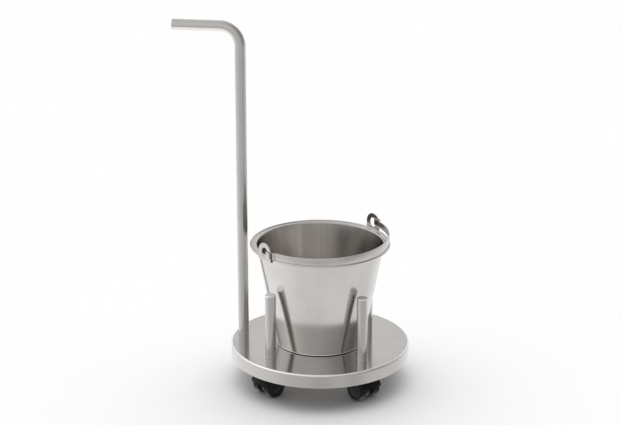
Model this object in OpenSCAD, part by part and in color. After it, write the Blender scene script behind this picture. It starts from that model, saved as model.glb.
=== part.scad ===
// Kick bucket on a round base with four twin-wheel casters and a push handle.
// Millimetres, Z up, the floor at Z = 0 and the base centred on the Z axis.

/* [Base tray] */
// Diameter of the round base
tray_d = 420; // [380:1:460]
// Thickness of the base sheet
tray_t = 1.5; // [1:0.1:2.5]
// Depth of the skirt, top face to lower edge
skirt_h = 32; // [26:1:40]
// Height of the caster bosses under the base
boss_h = 28; // [24:1:30]
// Rounding of the upper edge of the base
tray_edge_r = 5; // [3:0.5:8]

/* [Posts] */
// Diameter of the posts
post_d = 25; // [20:0.5:28]
// Wall of the post and handle tubes
tube_wall = 1.5; // [1:0.1:2.5]
// Height of the posts above the base
post_h = 151; // [110:1:170]
// Gap between the bucket and the top of a post
post_gap = 5.56; // [4:0.01:10]
// Turn of the first post from the X axis, in degrees
post_turn = 40.2; // [30:0.1:50]
// Thickness of the cap plate on a post
cap_t = 3; // [2:0.5:5]
// Chamfer on the cap
cap_chamfer = 0.8; // [0.4:0.1:1.5]
// Depth of the cap spigot
cap_spigot_h = 8; // [5:0.5:12]
// Leg of a weld fillet round a tube
weld_leg = 1; // [0.6:0.1:2]

/* [Push handle] */
// Diameter of the handle tube
handle_d = 25; // [22:0.5:28]
// Turn of the handle tube from the X axis, in degrees
handle_turn = 165.1; // [150:0.1:180]
// Height of the centre of the arm above the base
arm_z = 745; // [600:1:800]
// Reach of the arm from the centre of the upright
arm_reach = 156; // [120:1:200]
// Direction of the arm from the X axis, in degrees
arm_turn = 172; // [160:1:185]
// Centre line radius of the bend
bend_r = 46; // [36:1:60]
// Thickness of the disc of the end plug
plug_t = 2; // [1.5:0.5:4]
// Depth of the end plug in the tube
plug_depth = 14; // [8:1:20]
// Width of the stiffening plate all round the handle tube
plate_rim_w = 2.5; // [1.5:0.1:3]
// Gap between the stiffening plate and the rounding of the base
plate_gap = 0.8; // [0.4:0.1:5]
// Thickness of the stiffening plate
plate_t = 3; // [2:0.5:5]

/* [Bucket] */
// Gap between the rim of the bucket and the handle tube
handle_gap = 13.4; // [8:0.1:16]
// Outer rounding between bottom and wall
bottom_round_r = 6; // [4:0.5:9]
// Thickness of the bucket sheet
sheet_t = 1; // [0.8:0.1:1.5]
// Lean of the wall from upright, in degrees
wall_lean = 10.6; // [9:0.1:11]
// Height of the top face of the rim flange
flange_z = 243.5; // [238:0.5:255]
// Width of the rim beyond the line of the wall
rim_w = 14.75; // [13:0.05:18]
// Diameter of the rolled bead at the edge of the rim
bead_d = 6; // [4:0.5:7]
// Height of the top of the bead above the flange
bead_rise = 1.9; // [1:0.1:2.5]
// Inner radius of the bend between wall and flange
flange_bend_r = 2.5; // [1.5:0.5:3]

/* [Ears and bail] */
// Width of an ear
ear_w = 44; // [40:1:50]
// Thickness of the ear sheet
ear_t = 1.5; // [1:0.1:2.5]
// Gap between the rim and an ear
ear_gap = 0.7; // [0.5:0.1:2]
// Gap between the bead and the ear's foot, which is bent in under it
ear_seat_gap = 0.4; // [0.3:0.1:1]
// Length of the straight sides of the slot in an ear
slot_side_h = 3; // [2:0.1:5]
// Smallest gap between the slot and the tongue that turns in it
slot_gap = 0.71; // [0.6:0.01:1]
// Distance from the edge of the rim to the middle of the bail strip
bail_inset = 3.3; // [2.5:0.1:4]
// Width of the bail strip
bail_w = 16; // [12:0.5:16]
// Thickness of the bail strip
bail_t = 2; // [1.5:0.1:2.2]
// Gap between the bead and the lowered strip at the near ear
strip_gap = 0.8; // [0.7:0.1:2]
// Rise of the lowered strip from the near ear to the far ear
strip_rise = 7.8; // [4:0.1:8]
// Height of the pivot over the strip at the near ear, and under it at the far ear
pivot_lift = 0.9; // [0:0.1:2]
// Distance from the middle of a slot to the pivot
pivot_shift = 4.4; // [2:0.1:4.5]
// Droop of the lowered bail, in degrees
bail_droop = 0.8; // [0.5:0.1:0.8]
// Height of the tongue that hooks through an ear
tongue_h = 4.4; // [3:0.1:4.6]
// Distance from the pivot to the middle of the tongue
tongue_offset = 2.8; // [2:0.1:2.9]
// Length of the bail's flat tab beyond the tongue
tab_l = 19.8; // [17:0.1:23]
// Length of the bend between the flat tab and the ring
tab_bend_l = 4; // [3:0.5:6]
// Gap between the tab and an ear
tab_gap = 1; // [0.8:0.1:2]
// Length of the lip outside an ear, beyond the tongue
lip_l = 13.8; // [11:0.1:19]
// Gap between an ear and the lip
lip_gap = 1; // [0.8:0.1:2]

/* [Casters] */
// Distance that a caster's swivel axis stands inside the axis of its post
caster_inset = 10.8; // [0:0.1:14]
// Diameter of a caster wheel
wheel_d = 50; // [44:1:52]
// Width of a wheel
wheel_w = 20; // [15:0.5:21]
// Width of the web between the wheels
web_w = 17; // [13:0.5:18]
// Gap between the web and a wheel
wheel_gap = 1; // [0.6:0.1:2]
// Distance from the swivel axis to the axle
trail = 17; // [14:0.5:18]
// Thickness of the tyre
tyre_t = 3.5; // [2.5:0.5:5]
// Rounding of the tyre shoulder
tyre_round_r = 2.5; // [1:0.5:3]
// Diameter of the axle
axle_d = 7; // [6:0.5:8]
// Diameter of the swivel pin
pin_d = 8; // [7:0.5:9]
// Diameter of the threaded stem
stem_d = 10; // [8:0.5:12]
// Length of the threaded stem
stem_l = 18; // [12:1:22]
// Diameter of the stem flange
flange_d = 22; // [18:1:26]
// Thickness of the stem flange
stem_flange_t = 3; // [2:0.5:4]
// Diameter of the boss over a caster
boss_d = 34; // [28:1:40]
// Thickness of the hood over the wheels
hood_t = 2; // [1.5:0.5:3]
// Gap between a wheel and the hood
hood_gap = 2.5; // [1.5:0.5:4]
// Height of the lower edge of the hood above the axle
hood_edge_h = 6; // [2:1:12]
// Radius of the web round the axle
web_r = 20; // [16:1:21]
// Height of the web above the axle at the swivel pin
web_rise = 5; // [4:0.5:8]
// Thickness of the cap on top of the hood
hood_cap_t = 2; // [1.5:0.5:3]
// Height of the neck between the hood and its cap's top face
hood_neck_h = 7; // [3:0.5:9]
// Depth of the dished face of a wheel
face_dip = 1.2; // [0.6:0.1:2]
// Thickness of the face of a wheel
face_t = 2; // [1.5:0.1:3]
// Wall of the hub of a wheel
hub_wall = 3.5; // [2.5:0.5:5]
// Wall of the rim of a wheel
rim_wall = 3; // [2:0.5:4]
// Diameter of the retaining ring
clip_d = 14; // [12:0.5:15]
// Thickness of the retaining ring
clip_t = 1.2; // [0.8:0.1:1.5]
// Length of the swivel pin below the web
pin_tail = 5; // [4:0.5:6]
// Diameter of the pocket round the retaining ring
pocket_d = 20; // [17:0.5:22]

/* [Fits] */
// Radial clearance of the turning fits
run_gap = 0.05; // [0.02:0.01:0.1]
// Smallest gap between pieces that move past each other
move_gap = 0.5; // [0.3:0.1:1]

/* [Hidden] */
$fn = 96;
bend_fn = 12;
cut_over = 6;

wheel_r = wheel_d / 2;
wheel_in_y = web_w / 2 + wheel_gap;
core_r = wheel_r - tyre_t;
axle_half_l = wheel_in_y + wheel_w - face_dip - face_t - move_gap;
hood_r = wheel_r + hood_gap;
hood_top_z = wheel_r + hood_r + hood_t + hood_neck_h;
caster_h = hood_top_z + move_gap + stem_flange_t;
web_low_z = wheel_r + web_rise;
pin_low_z = web_low_z - pin_tail;

tray_r = tray_d / 2;
tray_under_z = caster_h + boss_h;
tray_z = tray_under_z + tray_t;
skirt_z = tray_z - skirt_h;
tube_bore_d = post_d - 2 * tube_wall;
handle_bore_d = handle_d - 2 * tube_wall;
upright_l = arm_z - bend_r;
arm_l = arm_reach - bend_r - plug_t;
plate_r = handle_d / 2 + plate_rim_w;
handle_r = tray_r - tray_edge_r - plate_gap - plate_r;

rim_r = handle_r - handle_d / 2 - handle_gap;
wall_spread = (flange_z - bottom_round_r * (1 - sin(wall_lean))) * tan(wall_lean);
bottom_r = rim_r - rim_w - bottom_round_r * cos(wall_lean) - wall_spread;
post_ring_r = wall_x(post_h) + post_gap + post_d / 2;
caster_ring_r = post_ring_r - caster_inset;

bead_c = [rim_r - bead_d / 2, flange_z + bead_rise - bead_d / 2];
ear_in_x = rim_r + ear_gap;
ear_out_x = ear_in_x + ear_t;
ear_r = ear_w / 2;
ear_foot_z = bead_c[1] - bead_d / 2 - ear_seat_gap - ear_t;

bail_r = rim_r - bail_inset;
strip_near_z = flange_z + bead_rise + strip_gap + bail_w / 2;
strip_z = strip_near_z + strip_rise / 2;
strip_tilt = atan(strip_rise / (2 * ear_in_x));
pivot_near_z = strip_near_z + pivot_lift;
pivot_far_z = strip_near_z + strip_rise - pivot_lift;
tongue_y = pivot_shift + tongue_offset;
tongue_sweep_r = norm([tongue_offset + bail_t / 2, tongue_h / 2]);
tab_end_y = tongue_y + tab_l;
lip_end_y = tongue_y + lip_l;
ring_end_y = tab_end_y + tab_bend_l;
ring_turn = asin(ring_end_y / bail_r);
tab_in_x = ear_in_x - tab_gap - bail_t;
lip_in_x = ear_out_x + lip_gap;
slot_w = 2 * (pivot_shift + tongue_sweep_r + slot_gap);

rr_turn = post_turn;
rl_turn = post_turn + 90;
fl_turn = post_turn + 180;
fr_turn = post_turn + 270;
corner_turns = [rr_turn, rl_turn, fl_turn, fr_turn];

// Points along an arc in a plane, from one angle to the other.
function arc(c, r, from, to) =
    [for (i = [0:bend_fn]) c + r * [cos(from + (to - from) * i / bend_fn),
                                    sin(from + (to - from) * i / bend_fn)]];

// Outer radius of the bucket wall at a height above its bottom.
function wall_x(z) =
    bottom_r + bottom_round_r * cos(wall_lean)
    + (z - bottom_round_r * (1 - sin(wall_lean))) * tan(wall_lean);

// Centre of the bend between wall and flange, in the plane of the section.
flange_bend_z = flange_z - sheet_t - flange_bend_r;
flange_bend_c = [
    wall_x(flange_bend_z + flange_bend_r * sin(wall_lean)) + flange_bend_r * cos(wall_lean),
    flange_bend_z
];

// Places the children on the axis of a post, with X pointing outward.
module at_post(turn) {
    rotate([0, 0, turn])
        translate([post_ring_r, 0, 0])
            children();
}

// Places the children on the swivel axis of a caster, with X pointing outward.
module at_caster(turn) {
    rotate([0, 0, turn])
        translate([caster_ring_r, 0, 0])
            children();
}

// A rod along Y, centred on the plane Y = 0.
module cross_rod(d, l) {
    rotate([90, 0, 0])
        cylinder(d = d, h = l, center = true);
}

// Section of a round pan that fills everything below its rounded top edge.
module pan_section(r, top_z, round_r) {
    translate([0, skirt_z])
        square([r, top_z - skirt_z - round_r]);
    translate([0, skirt_z])
        square([r - round_r, top_z - skirt_z]);
    translate([r - round_r, top_z - round_r])
        circle(r = round_r);
}

// Weld fillet round the foot of a tube that stands on the base.
module foot_weld(d) {
    translate([0, 0, tray_z])
        rotate_extrude()
            polygon([[d / 2, 0], [d / 2 + weld_leg, 0], [d / 2, weld_leg]]);
}

module tray() {
    color("gainsboro")
        rotate_extrude($fn = 2 * $fn)
            difference() {
                pan_section(tray_r, tray_z, tray_edge_r);
                translate([0, -tray_t])
                    pan_section(tray_r - tray_t, tray_z, tray_edge_r - tray_t);
            }
}

module boss(turn) {
    color("darkgray")
        at_caster(turn)
            difference() {
                translate([0, 0, caster_h])
                    cylinder(d = boss_d, h = boss_h);
                translate([0, 0, caster_h])
                    cylinder(d = stem_d, h = stem_l + move_gap);
            }
}

module post(turn) {
    color("silver")
        at_post(turn)
            translate([0, 0, tray_z])
                difference() {
                    cylinder(d = post_d, h = post_h - cap_t);
                    cylinder(d = tube_bore_d, h = post_h);
                }
}

module post_caps() {
    color("white")
        for (turn = corner_turns)
            at_post(turn)
                translate([0, 0, tray_z + post_h - cap_t]) {
                    translate([0, 0, -cap_spigot_h])
                        cylinder(d = tube_bore_d, h = cap_spigot_h);
                    cylinder(d = post_d, h = cap_t - cap_chamfer);
                    translate([0, 0, cap_t - cap_chamfer])
                        cylinder(d1 = post_d, d2 = post_d - 2 * cap_chamfer, h = cap_chamfer);
                }
}

module post_welds() {
    color("dimgray")
        for (turn = corner_turns)
            at_post(turn)
                foot_weld(post_d);
}

// Places the children on the axis of the handle's upright, with X along the arm.
module at_handle() {
    rotate([0, 0, handle_turn])
        translate([handle_r, 0, 0])
            rotate([0, 0, arm_turn - handle_turn])
                children();
}

// The run of the handle as a rod: upright, bend and arm.
module handle_run(d) {
    translate([0, 0, tray_z])
        cylinder(d = d, h = upright_l);
    translate([bend_r, 0, tray_z + upright_l])
        rotate([90, 0, 0])
            rotate([0, 0, 90])
                rotate_extrude(angle = 90)
                    translate([bend_r, 0])
                        circle(d = d);
    translate([bend_r, 0, tray_z + arm_z])
        rotate([0, 90, 0])
            cylinder(d = d, h = arm_l);
}

module handle_tube() {
    color("silver")
        at_handle()
            difference() {
                handle_run(handle_d);
                handle_run(handle_bore_d);
            }
}

module handle_plug() {
    color("gray")
        at_handle()
            translate([bend_r + arm_l, 0, tray_z + arm_z])
                rotate([0, 90, 0]) {
                    cylinder(d = handle_d, h = plug_t);
                    translate([0, 0, -plug_depth])
                        cylinder(d = handle_bore_d, h = plug_depth);
                }
}

module handle_weld() {
    color("dimgray")
        at_handle()
            foot_weld(handle_d);
}

module handle_plate() {
    color("darkgray")
        at_handle()
            translate([0, 0, tray_under_z - plate_t])
                cylinder(r = plate_r, h = plate_t);
}

// Section of the bucket's sheet, from the middle of the bottom to the rim.
module bucket_section() {
    polygon(concat(
        [[0, 0]],
        arc([bottom_r, bottom_round_r], bottom_round_r, -90, -wall_lean),
        arc(flange_bend_c, flange_bend_r, 180 - wall_lean, 90),
        [[bead_c[0], flange_z - sheet_t], [bead_c[0], flange_z]],
        arc(flange_bend_c, flange_bend_r + sheet_t, 90, 180 - wall_lean),
        arc([bottom_r, bottom_round_r], bottom_round_r - sheet_t, -wall_lean, -90),
        [[0, sheet_t]]
    ));
}

module bucket() {
    color("whitesmoke")
        translate([0, 0, tray_z])
            rotate_extrude($fn = 2 * $fn) {
                bucket_section();
                translate(bead_c)
                    circle(d = bead_d);
            }
}

// Side view of an ear: the upright eye and the foot that is bent in to the wall.
module ear_side() {
    polygon([
        [ear_out_x, strip_z + ear_r],
        [ear_out_x, ear_foot_z],
        [wall_x(ear_foot_z) - cut_over, ear_foot_z],
        [wall_x(ear_foot_z) - cut_over, ear_foot_z + ear_t],
        [ear_in_x, ear_foot_z + ear_t],
        [ear_in_x, strip_z + ear_r]
    ]);
}

// Front view of an ear: its round top and its slot have one centre.
module ear_front() {
    difference() {
        union() {
            translate([-ear_r, ear_foot_z])
                square([ear_w, strip_z - ear_foot_z]);
            translate([0, strip_z])
                circle(r = ear_r);
        }
        translate([-slot_w / 2, strip_z - slot_side_h / 2])
            square([slot_w, slot_side_h]);
        for (end = [-1, 1])
            translate([0, strip_z + end * slot_side_h / 2])
                circle(d = slot_w);
    }
}

module ear(turn) {
    color("silver")
        rotate([0, 0, turn])
            translate([0, 0, tray_z])
                difference() {
                    intersection() {
                        rotate([90, 0, 0])
                            linear_extrude(ear_w, center = true)
                                ear_side();
                        rotate([90, 0, 90])
                            linear_extrude(ear_out_x)
                                ear_front();
                    }
                    cylinder(r1 = wall_x(0), r2 = wall_x(flange_z), h = flange_z);
                }
}

// One end of the bail: the bend out of the ring, the flat tab inside the ear and the lip
// outside it.
module bail_end() {
    along = [cos(ring_turn), -sin(ring_turn)];
    linear_extrude(bail_w, center = true) {
        polygon([
            (bail_r - bail_t / 2) * along,
            [tab_in_x, -tab_end_y],
            [tab_in_x + bail_t, -tab_end_y],
            (bail_r + bail_t / 2) * along
        ]);
        translate([tab_in_x, -tab_end_y])
            square([bail_t, tab_l + bail_t / 2]);
        translate([lip_in_x, -lip_end_y])
            square([bail_t, lip_l + bail_t / 2]);
    }
}

// The narrow tongue that joins tab and lip through the slot of an ear.
module bail_tongue() {
    translate([tab_in_x, -tongue_y - bail_t / 2, -tongue_h / 2])
        cube([lip_in_x + bail_t - tab_in_x, bail_t, tongue_h]);
}

module bail() {
    color("silver")
        rotate([0, 0, post_turn])
            translate([0, 0, tray_z]) {
                translate([0, 0, strip_z])
                    rotate([0, -strip_tilt, 0])
                        rotate([bail_droop, 0, 0]) {
                            rotate([0, 0, 180 + ring_turn])
                                rotate_extrude(angle = 180 - 2 * ring_turn, $fn = 2 * $fn)
                                    translate([bail_r - bail_t / 2, -bail_w / 2])
                                        square([bail_t, bail_w]);
                            bail_end();
                            mirror([1, 0, 0])
                                bail_end();
                        }
                translate([0, 0, pivot_far_z])
                    bail_tongue();
                translate([0, 0, pivot_near_z])
                    mirror([1, 0, 0])
                        bail_tongue();
            }
}

module caster_stem(turn) {
    color("lightgray")
        at_caster(turn) {
            translate([0, 0, caster_h])
                cylinder(d = stem_d, h = stem_l);
            translate([0, 0, caster_h - stem_flange_t])
                cylinder(d = flange_d, h = stem_flange_t);
            translate([0, 0, pin_low_z])
                cylinder(d = pin_d, h = caster_h - stem_flange_t - pin_low_z);
        }
}

module caster_clip(turn) {
    color("slategray")
        at_caster(turn)
            translate([0, 0, web_low_z - move_gap - clip_t])
                difference() {
                    cylinder(d = clip_d, h = clip_t);
                    cylinder(d = pin_d, h = clip_t);
                }
}

// The part of the caster housing that covers the wheels, above its lower edge.
module hood_cover() {
    cut_l = 2 * (trail + hood_r + hood_t);
    difference() {
        translate([trail, 0, wheel_r])
            difference() {
                cross_rod(2 * (hood_r + hood_t), 2 * (wheel_in_y + wheel_w));
                wheel_bays();
            }
        translate([-cut_l / 2, -cut_l / 2, hood_edge_h + wheel_r - cut_l])
            cube([cut_l, cut_l, cut_l]);
    }
}

// The two wheel bays that are taken out of the cover, on either side of the web.
module wheel_bays() {
    for (side = [-1, 1])
        translate([0, side * (web_w / 2 + wheel_in_y + wheel_w), 0])
            cross_rod(2 * hood_r, 2 * (wheel_in_y + wheel_w));
}

module caster_hood(turn) {
    color("black")
        at_caster(turn)
            difference() {
                union() {
                    hood_cover();
                    translate([trail, 0, wheel_r])
                        cross_rod(2 * web_r, web_w);
                    translate([0, -web_w / 2, web_low_z])
                        cube([trail, web_w, web_r - web_rise]);
                    translate([0, 0, web_low_z])
                        cylinder(d = web_w, h = hood_top_z - web_low_z);
                    translate([0, 0, hood_top_z - hood_cap_t])
                        cylinder(d = flange_d, h = hood_cap_t);
                }
                translate([0, 0, pin_low_z])
                    cylinder(r = pin_d / 2 + run_gap, h = caster_h);
                translate([0, 0, pin_low_z - move_gap])
                    cylinder(d = pocket_d, h = pin_tail + move_gap);
                translate([trail, 0, wheel_r])
                    cross_rod(axle_d, web_w + 2 * cut_over);
            }
}

module caster_axle(turn) {
    color("lightgray")
        at_caster(turn)
            translate([trail, 0, wheel_r])
                cross_rod(axle_d, 2 * axle_half_l);
}

// Places a wheel's section so that its face looks outward on one side of the web.
module at_wheel(turn, side) {
    at_caster(turn)
        translate([trail, side * wheel_in_y, wheel_r])
            rotate([-side * 90, 0, 0])
                rotate_extrude()
                    children();
}

module caster_wheel(turn, side) {
    bore_r = axle_d / 2 + run_gap;
    hub_r = bore_r + hub_wall;
    face_z = wheel_w - face_dip;
    color("dimgray")
        at_wheel(turn, side)
            polygon([
                [bore_r, 0],
                [hub_r, 0],
                [hub_r, face_z - face_t],
                [core_r - rim_wall, face_z - face_t],
                [core_r - rim_wall, 0],
                [core_r, 0],
                [core_r, wheel_w],
                [core_r - rim_wall + face_dip, wheel_w],
                [core_r - rim_wall, face_z],
                [0, face_z],
                [0, face_z - face_t],
                [bore_r, face_z - face_t]
            ]);
}

module caster_tyre(turn, side) {
    shoulder_r = wheel_r - tyre_round_r;
    color("black")
        at_wheel(turn, side)
            polygon(concat(
                [[core_r, 0]],
                arc([shoulder_r, tyre_round_r], tyre_round_r, -90, 0),
                arc([shoulder_r, wheel_w - tyre_round_r], tyre_round_r, 0, 90),
                [[core_r, wheel_w]]
            ));
}

tray();
boss(rr_turn);  // boss_rr
boss(rl_turn);  // boss_rl
boss(fl_turn);  // boss_fl
boss(fr_turn);  // boss_fr
post(rr_turn);  // post_rr
post(rl_turn);  // post_rl
post(fl_turn);  // post_fl
post(fr_turn);  // post_fr
post_caps();
post_welds();
handle_tube();
handle_plug();
handle_weld();
handle_plate();
bucket();
ear(fl_turn);  // ear_near
ear(rr_turn);  // ear_far
bail();
caster_stem(rr_turn);  // caster_rr_stem
caster_clip(rr_turn);  // caster_rr_clip
caster_hood(rr_turn);  // caster_rr_hood
caster_axle(rr_turn);  // caster_rr_axle
caster_wheel(rr_turn, -1);  // caster_rr_wheel_a
caster_wheel(rr_turn, 1);  // caster_rr_wheel_b
caster_tyre(rr_turn, -1);  // caster_rr_tyre_a
caster_tyre(rr_turn, 1);  // caster_rr_tyre_b
caster_stem(rl_turn);  // caster_rl_stem
caster_clip(rl_turn);  // caster_rl_clip
caster_hood(rl_turn);  // caster_rl_hood
caster_axle(rl_turn);  // caster_rl_axle
caster_wheel(rl_turn, -1);  // caster_rl_wheel_a
caster_wheel(rl_turn, 1);  // caster_rl_wheel_b
caster_tyre(rl_turn, -1);  // caster_rl_tyre_a
caster_tyre(rl_turn, 1);  // caster_rl_tyre_b
caster_stem(fl_turn);  // caster_fl_stem
caster_clip(fl_turn);  // caster_fl_clip
caster_hood(fl_turn);  // caster_fl_hood
caster_axle(fl_turn);  // caster_fl_axle
caster_wheel(fl_turn, -1);  // caster_fl_wheel_a
caster_wheel(fl_turn, 1);  // caster_fl_wheel_b
caster_tyre(fl_turn, -1);  // caster_fl_tyre_a
caster_tyre(fl_turn, 1);  // caster_fl_tyre_b
caster_stem(fr_turn);  // caster_fr_stem
caster_clip(fr_turn);  // caster_fr_clip
caster_hood(fr_turn);  // caster_fr_hood
caster_axle(fr_turn);  // caster_fr_axle
caster_wheel(fr_turn, -1);  // caster_fr_wheel_a
caster_wheel(fr_turn, 1);  // caster_fr_wheel_b
caster_tyre(fr_turn, -1);  // caster_fr_tyre_a
caster_tyre(fr_turn, 1);  // caster_fr_tyre_b
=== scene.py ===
import bpy
import numpy as np
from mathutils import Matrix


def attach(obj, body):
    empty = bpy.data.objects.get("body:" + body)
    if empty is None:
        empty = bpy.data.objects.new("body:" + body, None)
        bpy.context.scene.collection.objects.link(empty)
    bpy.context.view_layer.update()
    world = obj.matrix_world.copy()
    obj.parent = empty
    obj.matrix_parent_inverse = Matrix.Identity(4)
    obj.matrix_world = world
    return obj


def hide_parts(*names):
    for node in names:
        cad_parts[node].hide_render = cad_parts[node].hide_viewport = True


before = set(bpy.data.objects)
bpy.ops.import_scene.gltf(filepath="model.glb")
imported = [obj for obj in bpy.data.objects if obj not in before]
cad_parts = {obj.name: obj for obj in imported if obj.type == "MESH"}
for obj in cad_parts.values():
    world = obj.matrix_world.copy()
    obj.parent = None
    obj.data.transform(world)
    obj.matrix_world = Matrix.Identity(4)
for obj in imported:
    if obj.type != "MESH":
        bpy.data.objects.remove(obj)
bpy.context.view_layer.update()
print("frame loaded:", len(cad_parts), "solids")

mm = 0.001
tiny = 1e-9
zero = (0.0, 0.0, 0.0)
upward = (0.0, 0.0, 1.0)
corners = {"rr": 0, "rl": 1, "fl": 2, "fr": 3}  # quarter turns from the first post
floorPlan = {"postTurn": 40.2, "postRing": 149.3, "casterRing": 138.5, "trayTop": 94.5}
facesRound = {"tube": 96, "wheel": 72, "large": 360}


# A unit vector that lies flat, at an angle from X in degrees: (cos a, sin a, 0).
def heading(degrees):
    a = np.radians(degrees)
    return np.array([np.cos(a), np.sin(a), 0.0])


# Vectors divided by their own length.
def unit(v):
    return v / np.linalg.norm(v, axis=-1, keepdims=True)


# The matrix that turns points about axis 0, 1 or 2. Of the two other axes, the first becomes
# (cos a, -sin a) and the second (sin a, cos a).
def turning(axis, angle):
    i, j = (axis + 1) % 3, (axis + 2) % 3
    matrix = np.eye(3)
    matrix[i, [i, j]] = np.cos(angle), -np.sin(angle)
    matrix[j, [i, j]] = np.sin(angle), np.cos(angle)
    return matrix


# The way along a line of points: the sum of the steps up to each one.
def runAlong(points):
    steps = np.linalg.norm(np.diff(points, axis=0), axis=1)
    return np.concatenate([[0], np.cumsum(steps)])


# A section through corner points (r, z, radius). A corner with a radius becomes an arc that
# leaves the side radius * tan(half the turn) before the corner and meets the next one as far
# after it. Outside lies to the right of the direction of travel. Gives the points, the normal
# of the stretch before each point and the normal of the stretch after it. With a span, no step
# is longer than that.
def sectionPath(cornerList, closed=False, arcSteps=8, span=None):
    here = np.array([c[:2] for c in cornerList], float)
    radii = [c[2] if len(c) > 2 else 0.0 for c in cornerList]
    count = len(here)
    points, before, after = [], [], []
    for i in range(count):
        last = not closed and i == count - 1
        first = not closed and i == 0
        a = unit(here[i] - here[i - 1]) if not first else unit(here[1] - here[0])
        b = unit(here[(i + 1) % count] - here[i]) if not last else a
        turn = np.arctan2(a[0] * b[1] - a[1] * b[0], a @ b)
        if radii[i] == 0 or abs(turn) < tiny:
            points.append(here[i][None])
            before.append(np.array([[a[1], -a[0]]]))
            after.append(np.array([[b[1], -b[0]]]))
            continue
        side = np.sign(turn)
        start = here[i] - a * radii[i] * np.tan(abs(turn) / 2)
        centre = start + side * radii[i] * np.array([-a[1], a[0]])
        t = np.linspace(0, turn, arcSteps + 1)
        way = np.outer(np.cos(t), a) + np.outer(np.sin(t), [-a[1], a[0]])
        left = np.stack([-way[:, 1], way[:, 0]], 1)
        points.append(centre - side * radii[i] * left)
        before.append(-left)
        after.append(-left)
    points, before, after = (np.concatenate(x) for x in (points, before, after))
    if span is None:
        return points, before, after
    rows, inward, outward = [], [], []
    total = len(points)
    for i in range(total if closed else total - 1):
        j = (i + 1) % total
        parts = max(1, int(np.ceil(np.linalg.norm(points[j] - points[i]) / span)))
        share = (np.arange(parts) / parts)[:, None]
        rows.append(points[i] + share * (points[j] - points[i]))
        inward.append(np.concatenate([before[i][None], np.repeat(after[i][None], parts - 1, 0)]))
        outward.append(np.repeat(after[i][None], parts, 0))
    if not closed:
        rows.append(points[-1:])
        inward.append(before[-1:])
        outward.append(after[-1:])
    return np.concatenate(rows), np.concatenate(inward), np.concatenate(outward)


# A mesh from a grid of points whose columns close on themselves. Faces run from row to row; a
# row marked as a pole shrinks to one point. Each face corner gets the normal of its own stretch.
def gridMesh(name, points, normalBefore, normalAfter, poles, uv, closed=False):
    rows, columns = points.shape[:2]
    index = np.zeros((rows, columns), np.int64)
    coordinates, used = [], 0
    for i in range(rows):
        size = 1 if poles[i] else columns
        index[i] = used + (np.arange(columns) if size > 1 else 0)
        coordinates.append(points[i, :size])
        used += size
    coordinates = np.concatenate(coordinates) * mm
    loops, sizes, normals, coords = [], [], [], []
    j, k = np.arange(columns), (np.arange(columns) + 1) % columns
    for i in range(rows if closed else rows - 1):
        n = (i + 1) % rows
        corner = [(i, j, j, normalAfter), (i, k, j + 1, normalAfter),
                  (n, k, j + 1, normalBefore), (n, j, j, normalBefore)]
        if poles[i]:
            corner = [corner[0]] + corner[2:]
        elif poles[n]:
            corner = corner[:3]
        loops.append(np.stack([index[r, c] for r, c, _, _ in corner], 1).ravel())
        normals.append(np.stack([f[r, c] for r, c, _, f in corner], 1).reshape(-1, 3))
        coords.append(np.stack([uv[r if r or not closed or i == 0 else rows, u]
                                for r, _, u, _ in corner], 1).reshape(-1, 2))
        sizes.append(np.full(columns, len(corner)))
    loops, sizes, normals, coords = (np.concatenate(x) for x in (loops, sizes, normals, coords))
    starts = np.concatenate([[0], np.cumsum(sizes)[:-1]])
    mesh = bpy.data.meshes.new(name)
    mesh.vertices.add(len(coordinates))
    mesh.vertices.foreach_set("co", coordinates.astype(np.float32).ravel())
    mesh.loops.add(len(loops))
    mesh.loops.foreach_set("vertex_index", loops.astype(np.int32))
    mesh.polygons.add(len(sizes))
    mesh.polygons.foreach_set("loop_start", starts.astype(np.int32))
    mesh.polygons.foreach_set("use_smooth", np.ones(len(sizes), bool))
    layer = mesh.uv_layers.new(name="sweep")
    layer.data.foreach_set("uv", (coords * mm).astype(np.float32).ravel())
    mesh.update(calc_edges=True)
    mesh.validate()
    mesh.normals_split_custom_set(unit(normals).tolist())
    piece = bpy.data.objects.new(name, mesh)
    bpy.context.scene.collection.objects.link(piece)
    return piece


# A straight spine from a point along a direction: the section's z is the way along it. Its up is
# square to X, or to Y where the direction itself lies near X.
def straightSpine(origin, direction):
    nearX = 0.9
    along = unit(np.array(direction, float))
    helper = np.eye(3)[0 if abs(along[0]) < nearX else 1]
    up = unit(np.cross(along, helper))
    side = np.cross(up, along)

    def spine(z):
        one = np.ones((len(z), 1))
        return np.array(origin, float) + z[:, None] * along, side * one, up * one, along * one

    return spine


# A section turned round a spine: point = spine(z) + r (cos a side + sin a up). Its normal is
# the section's own normal, taken across and along the spine.
def lathe(name, section, spine, closed=False, segments=facesRound["tube"]):
    path, before, after = section
    origin, side, up, along = spine(path[:, 1])
    a = np.linspace(0, 2 * np.pi, segments + 1)
    c, s = np.cos(a[:-1])[None, :, None], np.sin(a[:-1])[None, :, None]
    out = side[:, None] * c + up[:, None] * s
    points = origin[:, None] + path[:, 0][:, None, None] * out
    turned = [f[:, 0][:, None, None] * out + f[:, 1][:, None, None] * along[:, None]
              for f in (before, after)]
    run = runAlong(np.concatenate([path, path[:1]]))
    uv = np.stack(np.broadcast_arrays(a[None] * np.abs(path[:, 0]).max(), run[:, None]), -1)
    return gridMesh(name, points, *turned, path[:, 0] < tiny, uv, closed)


# A finished piece wears its material, rides on its body and stands in for the solids it names.
def finishPiece(piece, body, material, slot, *nodes):
    piece.data.materials.clear()
    piece.data.materials.append(material)
    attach(piece, body)
    if nodes:
        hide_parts(*nodes)


# Several meshes become one piece that keeps the first one's name.
def joined(pieces):
    with bpy.context.temp_override(active_object=pieces[0], selected_editable_objects=pieces):
        bpy.ops.object.join()
    return pieces[0]


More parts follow.
